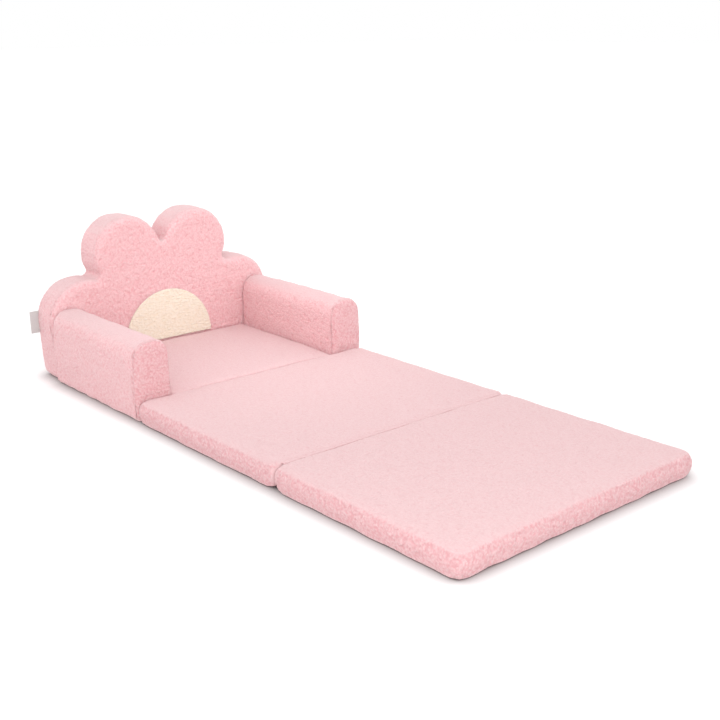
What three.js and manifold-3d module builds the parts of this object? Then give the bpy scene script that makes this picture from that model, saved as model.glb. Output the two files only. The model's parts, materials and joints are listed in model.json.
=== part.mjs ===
// A child's flip open sofa: a flower-shaped back, two armrests and a seat, with two mats that
// fold out in front. Millimetres, +Z up, -Y to the front. The origin is the middle of the
// seat's underside. It is modelled flipped open, flat on the floor.
import * as THREE from "three";
import { mergeVertices } from "three/addons/utils/BufferGeometryUtils.js";
import Module from "manifold-3d";

const wasm = await Module();
wasm.setup();

// Overall sizes
const overallWidth = 700;
const padHeight = 58;
const seatDepth = 424;
const middleMatLength = 534;
const endMatLength = 526;

// Armrests
const armWidth = 96;
const armHeight = 198;
const armTopRadius = 42;
const armFootRadius = 10;

// Back: two upper petals, two lower petals and a foot
const backHeight = 419;
const backThickness = 104;
const upperPetalRadius = 104;
const upperPetalGap = 6;
const lowerPetalCentreHeight = 155;
const petalOverlap = 2;
const notchRadius = 9.5;
const backFootInset = 10;
const backFootRadius = 16;
const backCentreHeight = 150;

// Padded edges: how far each one rounds over, and how much a face or a wall swells
const matTopEdge = 17;
const matBaseEdge = 12;
const foldTopEdge = 7;
const foldBaseEdge = 22;
const matCornerRadius = 24;
const seatEdge = 7;
const seatCornerRadius = 9;
const backFrontEdge = 13;
const backRearEdge = 15;
const armFrontEdge = 8;
const matCrown = 2.5;
const backCrown = 3;
const armCrown = 2;
const wallSwell = 1.5;
const swellRise = 30;

// Cloth and foam
const clothThickness = 4;
const gap = 0.3;
const foldGap = 0.6;
const leastEdge = 0.5;

// Centre disc of the flower
const discRadius = 140;
const discCentreRise = 3;
const discThickness = 3;

// Hinge cloths
const hingeClothThickness = 3;
const frontHingeReach = 10;
const matHingeReach = 6;

// Side label
const labelHeight = 60;
const labelLift = 121;
const labelReach = 22;
const labelThickness = 1.2;

// Zips on the undersides
const seatZipMargin = 64;
const matZipMargin = 110;
const zipSetBack = 110;
const zipTapeWidth = 27;
const zipTapeThickness = 1;
const zipTapeLift = 2.8;
const zipCoilWidth = 6;
const zipCoilDepth = 0.9;
const sliderLength = 12;
const sliderLip = 1.2;
const sliderThickness = 1.1;
const sliderGrip = 0.9;

// How finely curves are drawn
const outerSteps = 3;
const innerSteps = 2;
const footSteps = 2;
const petalSteps = 12;
const notchSteps = 3;
const cornerSteps = 3;
const armTopSteps = 4;
const discSteps = 28;
const labelSteps = 4;
const cutOverrun = 5;
const sameLength = 0.001;

// Crown rings, as shares of the distance from the pad's centre to its edge
const matCrownShares = [1, 0.82, 0.5];
const flatCrownShares = [1, 0.93];

const quarterTurn = Math.PI / 2;
const halfTurn = Math.PI;

// Sizes that follow
const halfWidth = overallWidth / 2;
const halfSeat = seatDepth / 2;
const seatWidth = overallWidth - 2 * (armWidth + gap);
const backFront = halfSeat + gap;
const backRear = backFront + backThickness;
const matHingeLine = -(halfSeat + foldGap + middleMatLength + foldGap / 2);
const frontHingeLine = -(halfSeat + foldGap / 2);

const colours = {
  blush: { color: 0xf5c6ca, roughness: 0.95, metalness: 0 },
  blushPale: { color: 0xfad6d8, roughness: 0.95, metalness: 0 },
  cream: { color: 0xfae8d4, roughness: 0.95, metalness: 0 },
  lining: { color: 0xefd3d5, roughness: 0.9, metalness: 0 },
  foam: { color: 0xf3ecd8, roughness: 1, metalness: 0 },
  zip: { color: 0xeebfc4, roughness: 0.6, metalness: 0 },
  slider: { color: 0xe3aeb4, roughness: 0.4, metalness: 0.3 },
  label: { color: 0xe8e8e6, roughness: 0.7, metalness: 0 },
};

// Solids

function solidOf(geometry) {
  const bare = new THREE.BufferGeometry();
  bare.setAttribute("position", geometry.getAttribute("position").clone());
  if (geometry.index) bare.setIndex(geometry.index.clone());
  const merged = mergeVertices(bare);
  return new wasm.Manifold(
    new wasm.Mesh({
      numProp: 3,
      vertProperties: new Float32Array(merged.getAttribute("position").array),
      triVerts: new Uint32Array(merged.index.array),
    }),
  );
}

function geometryOf(solid) {
  const mesh = solid.getMesh();
  const stride = mesh.numProp;
  const points = Array.from({ length: mesh.numVert }, (_, i) =>
    new THREE.Vector3().fromArray(mesh.vertProperties, i * stride),
  );
  const geometry = new THREE.BufferGeometry().setFromPoints(points);
  geometry.setIndex(new THREE.BufferAttribute(new Uint32Array(mesh.triVerts), 1));
  geometry.computeVertexNormals();
  return geometry;
}

// Cuts boxes, each given by its lowest and highest corner, out of a geometry.
function cutBoxes(geometry, boxes) {
  let solid = solidOf(geometry);
  for (const [low, high] of boxes) {
    const size = new THREE.Vector3().subVectors(high, low);
    const middle = new THREE.Vector3().addVectors(high, low).multiplyScalar(1 / 2);
    const box = new THREE.BoxGeometry(size.x, size.y, size.z);
    box.translate(middle.x, middle.y, middle.z);
    solid = solid.subtract(solidOf(box));
  }
  return geometryOf(solid);
}

// The faces that close a ring, turned to face along the ring's own winding or against it.
function capFaces(ring, firstIndex, forward) {
  const flat = ring.map((point) => new THREE.Vector2(point.x, point.y));
  return THREE.ShapeUtils.triangulateShape(flat, []).flatMap((face) => {
    const turns = THREE.ShapeUtils.area(face.map((i) => flat[i])) > 0 === forward;
    const [a, b, c] = face.map((i) => i + firstIndex);
    return turns ? [a, b, c] : [a, c, b];
  });
}

// The two faces of a four-sided patch, split along its shorter diagonal, so that layers that
// lie inside one another are split alike.
function patchFaces(points, a, b, c, d) {
  const split = points[a].distanceTo(points[c]) < points[b].distanceTo(points[d]) - sameLength;
  return split ? [a, b, c, a, c, d] : [a, b, d, b, c, d];
}

// A closed surface through rings of points. An open row of rings is capped at both ends, and
// a closed row, for a band, joins its last ring to its first.
function loft(rings, closed = false) {
  const points = rings.flat();
  const count = rings[0].length;
  const faces = [];
  const spans = closed ? rings.length : rings.length - 1;
  for (let r = 0; r < spans; r++) {
    const here = r * count;
    const next = ((r + 1) % rings.length) * count;
    for (let i = 0; i < count; i++) {
      const j = (i + 1) % count;
      faces.push(...patchFaces(points, here + i, here + j, next + j, next + i));
    }
  }
  if (!closed) {
    faces.push(...capFaces(rings[0], 0, false));
    faces.push(...capFaces(rings.at(-1), (rings.length - 1) * count, true));
  }
  const geometry = new THREE.BufferGeometry().setFromPoints(points);
  geometry.setIndex(signedVolume(points, faces) < 0 ? turnedRound(faces) : faces);
  geometry.computeVertexNormals();
  return geometry;
}

function signedVolume(points, faces) {
  let total = 0;
  const cross = new THREE.Vector3();
  for (let f = 0; f < faces.length; f += 3) {
    cross.crossVectors(points[faces[f + 1]], points[faces[f + 2]]);
    total += points[faces[f]].dot(cross);
  }
  return total;
}

function turnedRound(faces) {
  const turned = [];
  for (let f = 0; f < faces.length; f += 3) {
    turned.push(faces[f], faces[f + 2], faces[f + 1]);
  }
  return turned;
}

// Outlines. Each point knows which way faces out, how far the pad's edge rounds over there
// at its base and at its top, and how much its wall swells.

function arc(centre, radius, from, to, steps, hollow = false) {
  const points = [];
  for (let i = 0; i <= steps; i++) {
    const angle = from + ((to - from) * i) / steps;
    const way = new THREE.Vector2(Math.cos(angle), Math.sin(angle));
    points.push({
      x: centre.x + way.x * radius,
      y: centre.y + way.y * radius,
      out: hollow ? way.clone().negate() : way,
    });
  }
  return points;
}

// The walls swell fully from some height above the floor, and not at all on it.
function restingOnFloor(points, base, top) {
  return points.map((point) => ({
    ...point,
    base,
    top,
    swell: wallSwell * Math.min(1, point.y / swellRise),
  }));
}

// A rectangle with round corners. Each side has its own edges, and they blend at the corners.
function matOutline(width, length, sides) {
  const x = width / 2 - matCornerRadius;
  const y = length / 2 - matCornerRadius;
  const corners = [
    { centre: new THREE.Vector2(x, y), before: sides.right, after: sides.rear },
    { centre: new THREE.Vector2(-x, y), before: sides.rear, after: sides.left },
    { centre: new THREE.Vector2(-x, -y), before: sides.left, after: sides.front },
    { centre: new THREE.Vector2(x, -y), before: sides.front, after: sides.right },
  ];
  return corners.flatMap(({ centre, before, after }, turn) => {
    const from = turn * quarterTurn;
    const points = arc(centre, matCornerRadius, from, from + quarterTurn, cornerSteps);
    return points.map((point, i) => ({
      ...point,
      base: THREE.MathUtils.lerp(before.base, after.base, i / cornerSteps),
      top: THREE.MathUtils.lerp(before.top, after.top, i / cornerSteps),
      swell: wallSwell,
    }));
  });
}

function seatOutline() {
  const x = seatWidth / 2 - seatCornerRadius;
  const y = halfSeat - seatCornerRadius;
  const points = [
    [x, y],
    [-x, y],
    [-x, -y],
    [x, -y],
  ].flatMap(([cx, cy], turn) => {
    const from = turn * quarterTurn;
    return arc({ x: cx, y: cy }, seatCornerRadius, from, from + quarterTurn, footSteps);
  });
  return points.map((point) => ({ ...point, base: seatEdge, top: seatEdge, swell: 0 }));
}

// The armrest's section, seen from the front: an arched top on straight sides.
function armOutline() {
  const topRadius = Math.min(armTopRadius, armWidth / 2 - leastEdge);
  const topX = armWidth / 2 - topRadius;
  const topY = armHeight - topRadius;
  const footX = armWidth / 2 - armFootRadius;
  const points = [
    ...arc({ x: footX, y: armFootRadius }, armFootRadius, -quarterTurn, 0, footSteps),
    ...arc({ x: topX, y: topY }, topRadius, 0, quarterTurn, armTopSteps),
    ...arc({ x: -topX, y: topY }, topRadius, quarterTurn, halfTurn, armTopSteps),
    ...arc({ x: -footX, y: armFootRadius }, armFootRadius, halfTurn, halfTurn + quarterTurn, footSteps),
  ];
  return restingOnFloor(points, 0, armFrontEdge);
}

// The flower, seen from the front. The lower petal's radius is what makes it reach the sofa's
// full width and meet the upper petal.
const upperPetal = new THREE.Vector2(
  upperPetalRadius + upperPetalGap / 2,
  backHeight - upperPetalRadius,
);
const lowerPetalRadius = (() => {
  const across = halfWidth - upperPetal.x;
  const drop = upperPetal.y - lowerPetalCentreHeight;
  const bite = upperPetalRadius - petalOverlap;
  return (across * across + drop * drop - bite * bite) / (2 * (across + bite));
})();
const lowerPetal = new THREE.Vector2(halfWidth - lowerPetalRadius, lowerPetalCentreHeight);

// The centre of the hollow that touches two petals, on the outer side of the line between them.
function hollowBetween(first, firstRadius, second, secondRadius) {
  const span = new THREE.Vector2().subVectors(second, first);
  const reach = span.length();
  const near = firstRadius + notchRadius;
  const far = secondRadius + notchRadius;
  const along = (near * near - far * far + reach * reach) / (2 * reach);
  const aside = Math.sqrt(near * near - along * along);
  const way = span.divideScalar(reach);
  return new THREE.Vector2(
    first.x + way.x * along + way.y * aside,
    first.y + way.y * along - way.x * aside,
  );
}

function angleOf(from, to) {
  return Math.atan2(to.y - from.y, to.x - from.x);
}

function flowerOutline() {
  const foot = new THREE.Vector2(halfWidth - backFootInset - backFootRadius, backFootRadius);
  const lean = Math.acos((backFootRadius - lowerPetalRadius) / foot.distanceTo(lowerPetal));
  const sideAngle = angleOf(foot, lowerPetal) - lean;
  const otherUpper = new THREE.Vector2(-upperPetal.x, upperPetal.y);
  const side = hollowBetween(lowerPetal, lowerPetalRadius, upperPetal, upperPetalRadius);
  const middle = hollowBetween(upperPetal, upperPetalRadius, otherUpper, upperPetalRadius);
  const sideStart = angleOf(side, lowerPetal);
  const sideEnd = angleOf(side, upperPetal);
  const half = [
    ...arc(foot, backFootRadius, -quarterTurn, sideAngle, footSteps),
    ...arc(lowerPetal, lowerPetalRadius, sideAngle, angleOf(lowerPetal, side), petalSteps),
    ...arc(side, notchRadius, sideStart, sideEnd - 2 * halfTurn, notchSteps, true).slice(1),
    ...arc(
      upperPetal,
      upperPetalRadius,
      angleOf(upperPetal, side),
      angleOf(upperPetal, middle),
      petalSteps,
    ).slice(1),
    ...arc(middle, notchRadius, angleOf(middle, upperPetal), -quarterTurn, notchSteps, true).slice(1),
  ];
  const mirrored = half
    .slice(0, -1)
    .reverse()
    .map(({ x, y, out }) => ({ x: -x, y, out: new THREE.Vector2(-out.x, out.y) }));
  return restingOnFloor([...half, ...mirrored], backRearEdge, backFrontEdge);
}

// Padded blocks. A pad is an outline with a height, and its layers lie inside one another:
// 0 is the outside of the cloth, clothThickness its inside, and past the gap lies the foam.

const foamLayer = clothThickness + gap;

function placed(point, inset, rise) {
  return new THREE.Vector3(
    point.x - point.out.x * inset,
    point.y - point.out.y * inset,
    rise,
  );
}

// A ring on the rounded edge: turn 0 is where the flat face ends, and turn 1 where the wall starts.
function edgeRing(pad, layer, turn, atTop, backOff = 0) {
  return pad.outline.map((point) => {
    const radius = Math.max((atTop ? point.top : point.base) - layer, leastEdge);
    const inset = layer + point.swell + radius * (1 - Math.sin(turn * quarterTurn));
    const depth = layer + radius * (1 - Math.cos(turn * quarterTurn)) + backOff;
    return placed(point, inset, atTop ? pad.height - pad.crown - depth : depth);
  });
}

function edgeRings(pad, layer, atTop) {
  const steps = layer > 0 ? innerSteps : outerSteps;
  return Array.from({ length: steps + 1 }, (_, i) => edgeRing(pad, layer, i / steps, atTop));
}

function middleRing(pad, layer) {
  return pad.outline.map((point) => placed(point, layer, pad.height / 2));
}

function endRing(pad, layer) {
  return pad.outline.map((point) => placed(point, layer + point.swell, 0));
}

// The show face from its edge up to the flat middle, each ring a share of the first.
function crownRings(pad, layer) {
  const edge = edgeRing(pad, layer, 0, true);
  const flat = pad.crownShares.at(-1) ** 2;
  return pad.crownShares.slice(1).map((share) => {
    const fall = (share ** 2 - flat) / (1 - flat);
    const rise = pad.height - layer - pad.crown * fall;
    return edge.map(({ x, y }) => {
      const across = THREE.MathUtils.lerp(pad.centre.x, x, share);
      return new THREE.Vector3(across, THREE.MathUtils.lerp(pad.centre.y, y, share), rise);
    });
  });
}

function topRings(pad, layer) {
  return [...edgeRings(pad, layer, true).reverse(), ...crownRings(pad, layer)];
}

function baseRings(pad, layer) {
  return edgeRings(pad, layer, false);
}

// The whole block, for a foam core.
function foamCore(pad) {
  const start = pad.openEnd ? [endRing(pad, foamLayer)] : baseRings(pad, foamLayer);
  return loft([...start, middleRing(pad, foamLayer), ...topRings(pad, foamLayer)]);
}

// A cover that wraps the top and the walls and turns in under the base.
function wrapCover(pad) {
  const skin = (layer) => [...baseRings(pad, layer), middleRing(pad, layer), ...topRings(pad, layer)];
  return loft([...skin(0).reverse(), ...skin(clothThickness)]);
}

// A panel over one face and its rounded edge.
function facePanel(pad) {
  return loft([...topRings(pad, 0).reverse(), ...topRings(pad, clothThickness)]);
}

function rearPanel(pad) {
  return loft([...baseRings(pad, 0), ...baseRings(pad, clothThickness).reverse()]);
}

// A band round the walls, between the two panels or from the open end to the face panel.
function wallBand(pad) {
  const wall = (layer) => [
    pad.openEnd ? endRing(pad, layer) : edgeRing(pad, layer, 1, false, gap),
    middleRing(pad, layer),
    edgeRing(pad, layer, 1, true, gap),
  ];
  return loft([...wall(0), ...wall(clothThickness).reverse()], true);
}

// The cloth that closes the base inside the cover's turned-in rim.
function baseCloth(pad) {
  const ring = (rise) =>
    pad.outline.map((point) => placed(point, point.base + point.swell + gap, rise));
  return loft([ring(0), ring(clothThickness)]);
}

// A straight bar along X with the given section, each point a place across and a height.
function barAlongX(section, length) {
  const points = section.map(([across, height]) => new THREE.Vector2(across, height));
  const geometry = new THREE.ExtrudeGeometry(new THREE.Shape(points), {
    depth: length,
    bevelEnabled: false,
  });
  geometry.translate(0, 0, -length / 2);
  return geometry;
}

const alongX = new THREE.Euler(quarterTurn, quarterTurn, 0);
const facingFront = new THREE.Euler(quarterTurn, 0, 0);
const upright = new THREE.Euler();

function addPiece(group, name, geometry, finish, place = new THREE.Vector3(), turn = upright) {
  const mesh = new THREE.Mesh(geometry, new THREE.MeshStandardMaterial(colours[finish]));
  mesh.name = name;
  mesh.position.copy(place);
  mesh.rotation.copy(turn);
  group.add(mesh);
}

// Zip: a tape with its coil below it, and a slider that wraps the coil from underneath.

const coilBottom = zipTapeLift - zipCoilDepth;

function zipSlot(length, y) {
  const halfLength = length / 2 + gap;
  const halfTape = zipTapeWidth / 2 + gap;
  return [
    new THREE.Vector3(-halfLength, y - halfTape, -cutOverrun),
    new THREE.Vector3(halfLength, y + halfTape, clothThickness + cutOverrun),
  ];
}

function zipTape(length) {
  const tape = zipTapeWidth / 2;
  const coil = zipCoilWidth / 2;
  const top = zipTapeLift + zipTapeThickness;
  return barAlongX(
    [
      [-tape, zipTapeLift],
      [-coil, zipTapeLift],
      [-coil, coilBottom],
      [coil, coilBottom],
      [coil, zipTapeLift],
      [tape, zipTapeLift],
      [tape, top],
      [-tape, top],
    ],
    length,
  );
}

function zipSlider() {
  const inner = zipCoilWidth / 2 + gap;
  const outer = inner + sliderLip;
  const ceiling = coilBottom - gap;
  const floor = ceiling - sliderThickness;
  const lip = ceiling + sliderGrip;
  return barAlongX(
    [
      [-outer, floor],
      [outer, floor],
      [outer, lip],
      [inner, lip],
      [inner, ceiling],
      [-inner, ceiling],
      [-inner, lip],
      [-outer, lip],
    ],
    sliderLength,
  );
}

function addZip(group, prefix, length, y) {
  const place = new THREE.Vector3(0, y, 0);
  addPiece(group, `${prefix}_zip_tape`, zipTape(length), "zip", place, alongX);
  const start = new THREE.Vector3((length - sliderLength) / 2, y, 0);
  addPiece(group, `${prefix}_zip_slider`, zipSlider(), "slider", start, alongX);
}

// Where a hinge cloth lies, the covers beside it leave room. The box is in the pad's own frame,
// round a fold at y.
const frontHingeWidth = seatWidth - 2 * seatCornerRadius;
const matHingeWidth = overallWidth - 2 * matCornerRadius;
const foldTop = padHeight - matCrown;

function frontHingeRoom(y) {
  const half = frontHingeWidth / 2 + gap;
  return [
    new THREE.Vector3(-half, y - frontHingeReach - gap, -cutOverrun),
    new THREE.Vector3(half, y + frontHingeReach + gap, hingeClothThickness + gap),
  ];
}

function matHingeRoom(y) {
  const half = matHingeWidth / 2 + gap;
  return [
    new THREE.Vector3(-half, y - matHingeReach - gap, foldTop - hingeClothThickness - gap),
    new THREE.Vector3(half, y + matHingeReach + gap, padHeight + cutOverrun),
  ];
}

// Sofa unit

const sofaUnit = new THREE.Group();

const backPad = {
  outline: flowerOutline(),
  height: backThickness,
  crown: backCrown,
  crownShares: flatCrownShares,
  centre: new THREE.Vector2(0, backCentreHeight),
};
const backPlace = new THREE.Vector3(0, backRear, 0);
const addBackPiece = (name, geometry, finish) =>
  addPiece(sofaUnit, name, geometry, finish, backPlace, facingFront);
addBackPiece("back_foam_core", foamCore(backPad), "foam");
addBackPiece("back_cover_front_panel", facePanel(backPad), "blush");
addBackPiece("back_cover_side_band", wallBand(backPad), "blush");
addBackPiece("back_cover_rear_panel", rearPanel(backPad), "blush");

// The disc is the part of a circle that shows above the seat.
function centreDisc() {
  const sunk = discCentreRise - gap;
  const dip = Math.asin(sunk / discRadius);
  const centre = { x: 0, y: padHeight + discCentreRise };
  const rim = arc(centre, discRadius, -dip, halfTurn + dip, discSteps);
  const shape = new THREE.Shape(rim.map(({ x, y }) => new THREE.Vector2(x, y)));
  return new THREE.ExtrudeGeometry(shape, { depth: discThickness, bevelEnabled: false });
}
const discPlace = new THREE.Vector3(0, backFront - gap, 0);
addPiece(sofaUnit, "back_centre_disc", centreDisc(), "cream", discPlace, facingFront);

// How far the back's outline reaches to the side at a height.
function reachAt(height) {
  const reaches = backPad.outline.map((point, i) => {
    const next = backPad.outline[(i + 1) % backPad.outline.length];
    const share = (height - point.y) / (next.y - point.y);
    return share >= 0 && share <= 1 ? THREE.MathUtils.lerp(point.x, next.x, share) : 0;
  });
  return Math.max(...reaches);
}

// The label's inner edge follows the side of the back that it is sewn to.
function sideLabel() {
  const edge = Array.from({ length: labelSteps + 1 }, (_, i) => {
    const height = labelLift + (labelHeight * i) / labelSteps;
    return new THREE.Vector2(-(reachAt(height) - wallSwell + 2 * gap), height);
  });
  const outer = -(halfWidth + labelReach);
  const shape = new THREE.Shape([
    ...edge,
    new THREE.Vector2(outer, labelLift + labelHeight),
    new THREE.Vector2(outer, labelLift),
  ]);
  return new THREE.ExtrudeGeometry(shape, { depth: labelThickness, bevelEnabled: false });
}
const labelPlace = new THREE.Vector3(0, backRear - backRearEdge, 0);
addPiece(sofaUnit, "side_label", sideLabel(), "label", labelPlace, facingFront);

const armPad = {
  outline: armOutline(),
  height: seatDepth,
  crown: armCrown,
  crownShares: flatCrownShares,
  centre: new THREE.Vector2(0, armHeight / 2),
  openEnd: true,
};
for (const [side, sign] of [
  ["left", -1],
  ["right", 1],
]) {
  const place = new THREE.Vector3(sign * (halfWidth - armWidth / 2), halfSeat, 0);
  const addArmPiece = (name, geometry, finish) =>
    addPiece(sofaUnit, `${side}_arm_${name}`, geometry, finish, place, facingFront);
  addArmPiece("foam_core", foamCore(armPad), "foam");
  addArmPiece("cover_sleeve", wallBand(armPad), "blush");
  addArmPiece("front_cap", facePanel(armPad), "blush");
}

const seatPad = {
  outline: seatOutline(),
  height: padHeight,
  crown: matCrown,
  crownShares: matCrownShares,
  centre: new THREE.Vector2(),
};
const seatZipLength = seatWidth - 2 * seatZipMargin;
const seatZipPlace = halfSeat - zipSetBack;
addPiece(sofaUnit, "seat_foam_core", foamCore(seatPad), "foam");
addPiece(
  sofaUnit,
  "seat_cover",
  cutBoxes(wrapCover(seatPad), [frontHingeRoom(frontHingeLine)]),
  "blushPale",
);
addPiece(
  sofaUnit,
  "seat_underside_cloth",
  cutBoxes(baseCloth(seatPad), [
    frontHingeRoom(frontHingeLine),
    zipSlot(seatZipLength, seatZipPlace),
  ]),
  "lining",
);
addZip(sofaUnit, "seat", seatZipLength, seatZipPlace);

// Mats. Their walls, covers and zips are made alike, and only the folds differ.

const openEdge = { base: matBaseEdge, top: matTopEdge };
const frontFoldEdge = { base: foldTopEdge, top: foldTopEdge };
const matFoldEdge = { base: foldBaseEdge, top: foldTopEdge };

function addMat(name, length, sides, place, rooms) {
  const mat = new THREE.Group();
  mat.position.copy(place);
  const pad = {
    outline: matOutline(overallWidth, length, { left: openEdge, right: openEdge, ...sides }),
    height: padHeight,
    crown: matCrown,
    crownShares: matCrownShares,
    centre: new THREE.Vector2(),
  };
  const zipLength = overallWidth - 2 * matZipMargin;
  const zipPlace = length / 2 - zipSetBack;
  addPiece(mat, `${name}_foam_core`, foamCore(pad), "foam");
  addPiece(mat, `${name}_cover`, cutBoxes(wrapCover(pad), rooms), "blushPale");
  addPiece(
    mat,
    `${name}_underside_cloth`,
    cutBoxes(baseCloth(pad), [...rooms, zipSlot(zipLength, zipPlace)]),
    "lining",
  );
  addZip(mat, name, zipLength, zipPlace);
  return mat;
}

const middleMatPlace = new THREE.Vector3(0, -(halfSeat + foldGap + middleMatLength / 2), 0);
const middleMat = addMat(
  "middle_mat",
  middleMatLength,
  { rear: frontFoldEdge, front: matFoldEdge },
  middleMatPlace,
  [
    frontHingeRoom(frontHingeLine - middleMatPlace.y),
    matHingeRoom(matHingeLine - middleMatPlace.y),
  ],
);
const endMatPlace = new THREE.Vector3(0, matHingeLine - (foldGap + endMatLength) / 2, 0);
const endMat = addMat(
  "end_mat",
  endMatLength,
  { rear: matFoldEdge, front: openEdge },
  endMatPlace,
  [matHingeRoom(matHingeLine - endMatPlace.y)],
);

// Hinge cloths: one under the seat's front edge, one on top between the mats.
const frontHinge = new THREE.BoxGeometry(
  frontHingeWidth,
  2 * frontHingeReach,
  hingeClothThickness,
);
addPiece(
  middleMat,
  "front_hinge_cloth",
  frontHinge,
  "lining",
  new THREE.Vector3(0, frontHingeLine - middleMatPlace.y, hingeClothThickness / 2),
);
const matHinge = new THREE.BoxGeometry(matHingeWidth, 2 * matHingeReach, hingeClothThickness);
addPiece(
  endMat,
  "mat_hinge_cloth",
  matHinge,
  "blushPale",
  new THREE.Vector3(0, matHingeLine - endMatPlace.y, foldTop - hingeClothThickness / 2),
);

const sofa = new THREE.Group();
sofa.add(sofaUnit, middleMat, endMat);

export default sofa;
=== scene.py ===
# %% [markdown]
# # A child's flip open sofa in curly teddy fleece
# The imported model is loaded as a fixed frame: every piece below is made in metres, in the frame's
# own coordinates, and all but the hinge strips ride on one of its bodies. Its soft solids are
# replaced by padded forms with seams and pile. The seat faces -Y, where two mats lie folded out on
# the floor.

import json
import math

import bpy
import numpy as np
from mathutils import Matrix, Vector

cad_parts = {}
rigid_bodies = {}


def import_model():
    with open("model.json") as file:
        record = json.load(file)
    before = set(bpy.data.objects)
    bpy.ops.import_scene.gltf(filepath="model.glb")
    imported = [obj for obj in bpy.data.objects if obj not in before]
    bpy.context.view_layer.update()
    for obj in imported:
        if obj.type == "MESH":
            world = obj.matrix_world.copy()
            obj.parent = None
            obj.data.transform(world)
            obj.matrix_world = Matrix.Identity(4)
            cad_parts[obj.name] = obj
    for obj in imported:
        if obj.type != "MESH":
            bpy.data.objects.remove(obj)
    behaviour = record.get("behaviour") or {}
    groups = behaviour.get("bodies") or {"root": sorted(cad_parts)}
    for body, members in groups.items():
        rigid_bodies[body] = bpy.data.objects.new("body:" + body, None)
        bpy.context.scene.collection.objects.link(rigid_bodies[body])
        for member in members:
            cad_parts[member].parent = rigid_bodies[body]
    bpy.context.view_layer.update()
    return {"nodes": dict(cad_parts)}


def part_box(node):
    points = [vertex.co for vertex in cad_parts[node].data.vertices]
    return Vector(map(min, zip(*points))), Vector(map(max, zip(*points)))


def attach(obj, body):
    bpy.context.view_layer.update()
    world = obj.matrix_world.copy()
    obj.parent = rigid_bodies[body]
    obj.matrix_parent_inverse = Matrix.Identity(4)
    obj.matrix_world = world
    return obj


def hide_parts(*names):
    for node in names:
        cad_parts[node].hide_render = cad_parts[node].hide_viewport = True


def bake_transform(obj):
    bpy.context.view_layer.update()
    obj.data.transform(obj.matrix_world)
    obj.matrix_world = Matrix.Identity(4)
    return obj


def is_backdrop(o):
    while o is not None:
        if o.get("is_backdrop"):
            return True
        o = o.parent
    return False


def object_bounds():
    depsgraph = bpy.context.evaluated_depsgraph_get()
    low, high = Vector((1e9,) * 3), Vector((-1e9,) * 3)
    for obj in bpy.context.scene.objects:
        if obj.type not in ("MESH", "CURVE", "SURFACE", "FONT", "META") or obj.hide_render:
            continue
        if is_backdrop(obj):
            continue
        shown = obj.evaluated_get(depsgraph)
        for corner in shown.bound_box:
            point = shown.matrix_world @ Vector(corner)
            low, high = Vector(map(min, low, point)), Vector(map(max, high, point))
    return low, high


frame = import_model()

# %% [markdown]
# ## Camera
# The photograph looks down on the sofa from its front left. The camera is placed first, so that
# each piece can be judged in the same picture as the real one. Its place, its heading and its lens
# were worked out from the straight edges of the mats.

# %% Camera
CAMERA_PLACE = Vector((-1.57689, -2.42874, 0.91355))
CAMERA_HEADING = math.radians(41.011)
CAMERA_PITCH = math.radians(17.022)
CAMERA_ROLL = math.radians(-0.397)
CAMERA_LENS = 55.028

bpy.ops.object.camera_add()
camera = bpy.context.active_object
camera.name = "camera"
camera.data.sensor_width = 36
camera.data.lens = CAMERA_LENS
camera.matrix_world = (
    Matrix.Translation(CAMERA_PLACE)
    @ Matrix.Rotation(-CAMERA_HEADING, 4, "Z")
    @ Matrix.Rotation(math.pi / 2 - CAMERA_PITCH, 4, "X")
    @ Matrix.Rotation(CAMERA_ROLL, 4, "Z")
)
bpy.context.scene.camera = camera
print("camera at", tuple(round(v, 3) for v in camera.location))

# %% [markdown]
# ## Floor and light
# The studio floor is white up to the horizon, and only a narrow shadow shows round the mats. The
# camera sees a floor paler than the one that lights the fleece, so no extra lamp is needed. What
# lies on the floor gets light through it, so the undersides can be looked at from below. A white
# sky gives most of the light, more from the sides than from above. One soft lamp stands ahead of
# the mats on the left, and a narrow one hangs over the seat.

# %% Floor
FLOOR_HALF = 40.0
FLOOR_DROP = 0.0004
FLOOR_BOUNCE = 0.82
FLOOR_SEEN = 0.99
CONTACT_REACH = 0.045
CONTACT_POWER = 0.8
UNDER_REACH = 0.007

bpy.ops.mesh.primitive_plane_add(size=2 * FLOOR_HALF, location=(0, 0, -FLOOR_DROP))
floor = bpy.context.active_object
floor.name = "floor"
floor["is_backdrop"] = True


def new_material(name):
    """An empty node material, its node tree and its output."""
    material = bpy.data.materials.new(name)
    material.use_nodes = True
    tree = material.node_tree
    tree.nodes.clear()
    return material, tree, tree.nodes.new("ShaderNodeOutputMaterial")


def feed(tree, socket, value):
    """Give a socket what it needs: a plain value, or the output that is linked to it."""
    if isinstance(value, bpy.types.NodeSocket):
        tree.links.new(value, socket)
    else:
        socket.default_value = value


def node_of(tree, kind, **inputs):
    """A new node of a kind, with some of its inputs fed by name."""
    node = tree.nodes.new(kind)
    for name, value in inputs.items():
        feed(tree, node.inputs[name.replace("_", " ")], value)
    return node


def calculate(tree, operation, *inputs):
    """The output of a math node."""
    node = tree.nodes.new("ShaderNodeMath")
    node.operation = operation
    for socket, value in zip(node.inputs, inputs):
        feed(tree, socket, value)
    return node.outputs[0]


def mix_shaders(tree, share, first, second):
    """A shader between two, by a share."""
    mix = tree.nodes.new("ShaderNodeMixShader")
    for socket, value in zip(mix.inputs, (share, first.outputs[0], second.outputs[0])):
        feed(tree, socket, value)
    return mix


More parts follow.
